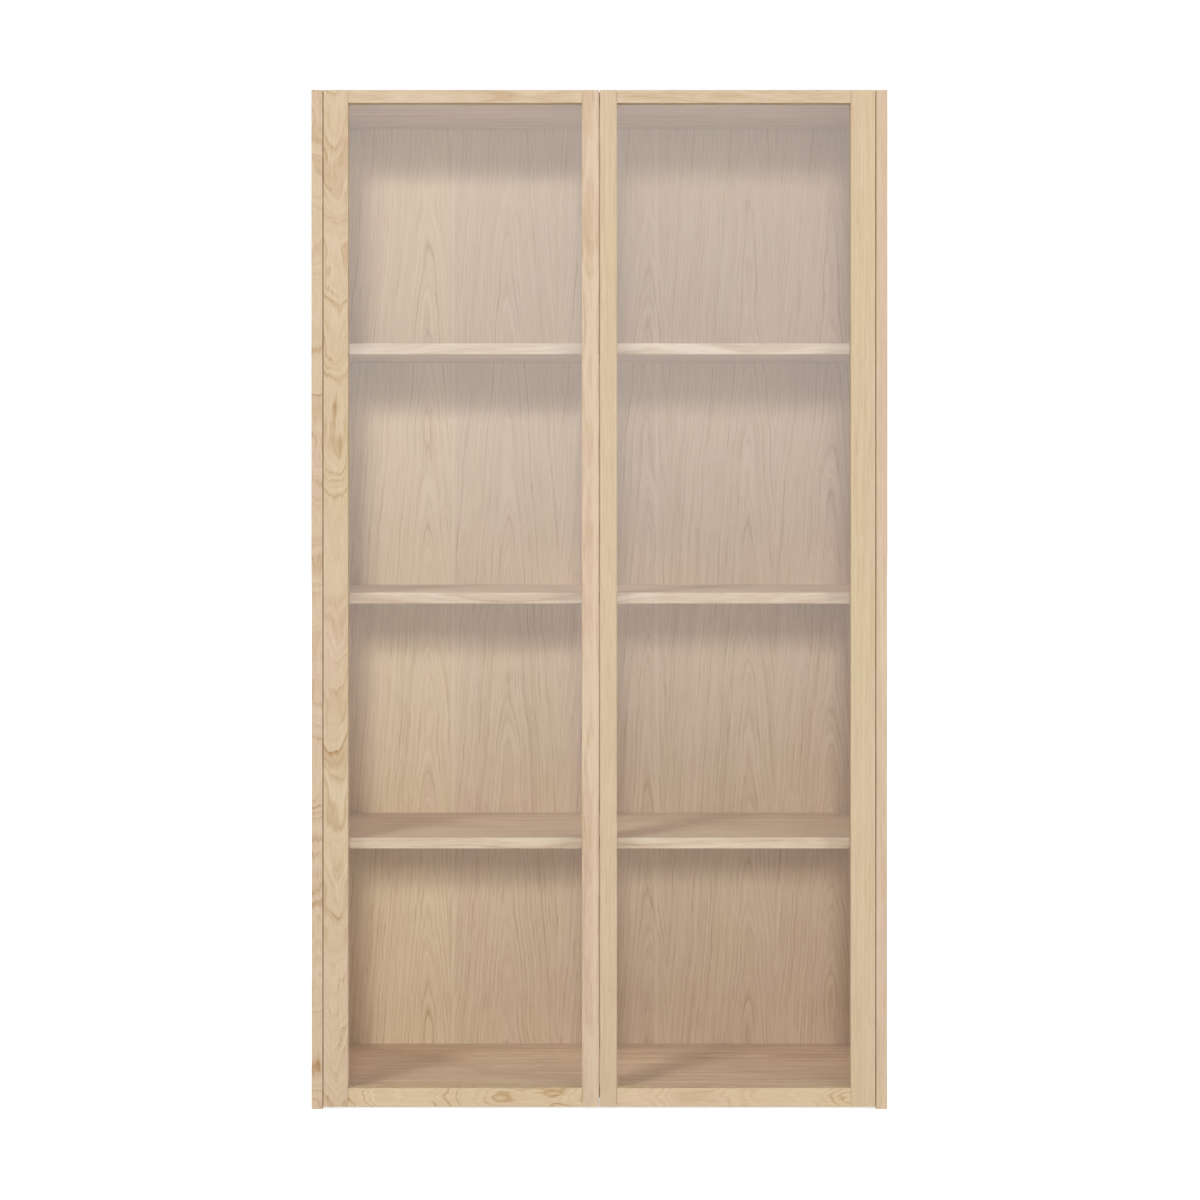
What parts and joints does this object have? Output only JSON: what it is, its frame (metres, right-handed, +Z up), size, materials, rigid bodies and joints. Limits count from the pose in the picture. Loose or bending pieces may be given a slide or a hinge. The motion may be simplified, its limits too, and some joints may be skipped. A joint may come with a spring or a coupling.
{
  "type": "display cabinet",
  "caption": "Tall glazed display cabinet: framed glass doors set between the sides on concealed hinges, with push latches and shelves on pins.",
  "frame": {"origin": "centre of the cabinet's outline on the floor", "axes": "+Z up, +X to the right seen from the front, +Y towards the wall; the doors face -Y"},
  "size_m": [1.2, 0.376, 2.124],
  "materials": {
    "oak": "pale oiled oak, straight and cathedral grain, matt",
    "oak_veneer": "pale oak veneer in leaves with vertical grain, matt",
    "glass": "clear float glass",
    "nickel_steel": "nickel-plated pressed steel, satin",
    "zinc_pin": "zinc-plated turned steel",
    "dark_plastic": "moulded plastic, matt dark grey"
  },
  "bodies": {
    "carcass": {"gable_left": "oak", "gable_right": "oak", "top_panel": "oak", "bottom_panel": "oak", "back_panel": "oak_veneer", "shelf_lower": "oak", "shelf_middle": "oak", "shelf_upper": "oak", "shelf_pin_lower_left_front": "zinc_pin", "shelf_pin_lower_left_rear": "zinc_pin", "shelf_pin_lower_right_front": "zinc_pin", "shelf_pin_lower_right_rear": "zinc_pin", "shelf_pin_middle_left_front": "zinc_pin", "shelf_pin_middle_left_rear": "zinc_pin", "shelf_pin_middle_right_front": "zinc_pin", "shelf_pin_middle_right_rear": "zinc_pin", "shelf_pin_upper_left_front": "zinc_pin", "shelf_pin_upper_left_rear": "zinc_pin", "shelf_pin_upper_right_front": "zinc_pin", "shelf_pin_upper_right_rear": "zinc_pin", "left_hinge_arm_1": "nickel_steel", "left_hinge_arm_2": "nickel_steel", "left_hinge_arm_3": "nickel_steel", "left_hinge_arm_4": "nickel_steel", "right_hinge_arm_1": "nickel_steel", "right_hinge_arm_2": "nickel_steel", "right_hinge_arm_3": "nickel_steel", "right_hinge_arm_4": "nickel_steel", "left_latch_housing": "dark_plastic", "right_latch_housing": "dark_plastic"},
    "left_links": {"left_hinge_link_1": "nickel_steel", "left_hinge_link_2": "nickel_steel", "left_hinge_link_3": "nickel_steel", "left_hinge_link_4": "nickel_steel"},
    "left_door": {"left_hinge_stile": "oak", "left_closing_stile": "oak", "left_top_rail": "oak", "left_bottom_rail": "oak", "left_glass": "glass", "left_glazing_bead": "oak", "left_hinge_cup_1": "nickel_steel", "left_hinge_cup_2": "nickel_steel", "left_hinge_cup_3": "nickel_steel", "left_hinge_cup_4": "nickel_steel"},
    "left_plunger": {"left_latch_plunger": "dark_plastic"},
    "right_links": {"right_hinge_link_1": "nickel_steel", "right_hinge_link_2": "nickel_steel", "right_hinge_link_3": "nickel_steel", "right_hinge_link_4": "nickel_steel"},
    "right_door": {"right_hinge_stile": "oak", "right_closing_stile": "oak", "right_top_rail": "oak", "right_bottom_rail": "oak", "right_glass": "glass", "right_glazing_bead": "oak", "right_hinge_cup_1": "nickel_steel", "right_hinge_cup_2": "nickel_steel", "right_hinge_cup_3": "nickel_steel", "right_hinge_cup_4": "nickel_steel"},
    "right_plunger": {"right_latch_plunger": "dark_plastic"}
  },
  "joints": [
    {"name": "left_arm_pins", "type": "hinge", "parent": "carcass", "child": "left_links", "pos_m": [-0.5365, -0.154, 0], "axis": [0, 0, -1], "range_deg": [-31.65, 0]},
    {"name": "left_cup_pins", "type": "hinge", "parent": "left_links", "child": "left_door", "pos_m": [-0.5611, -0.1748, 0], "axis": [0, 0, -1], "range_deg": [0, 126.6]},
    {"name": "left_plunger_slide", "type": "slide", "parent": "carcass", "child": "left_plunger", "axis": [0, 1, 0], "range_m": [0, 0.0025], "stiffness_N_per_m": 400},
    {"name": "right_arm_pins", "type": "hinge", "parent": "carcass", "child": "right_links", "pos_m": [0.5365, -0.154, 0], "axis": [0, 0, 1], "range_deg": [-31.65, 0]},
    {"name": "right_cup_pins", "type": "hinge", "parent": "right_links", "child": "right_door", "pos_m": [0.5611, -0.1748, 0], "axis": [0, 0, 1], "range_deg": [0, 126.6]},
    {"name": "right_plunger_slide", "type": "slide", "parent": "carcass", "child": "right_plunger", "axis": [0, 1, 0], "range_m": [0, 0.0025], "stiffness_N_per_m": 400}
  ],
  "couplings": [
    {"joint": "left_arm_pins", "follows": "left_cup_pins", "ratio": -0.25},
    {"joint": "right_arm_pins", "follows": "right_cup_pins", "ratio": -0.25}
  ]
}
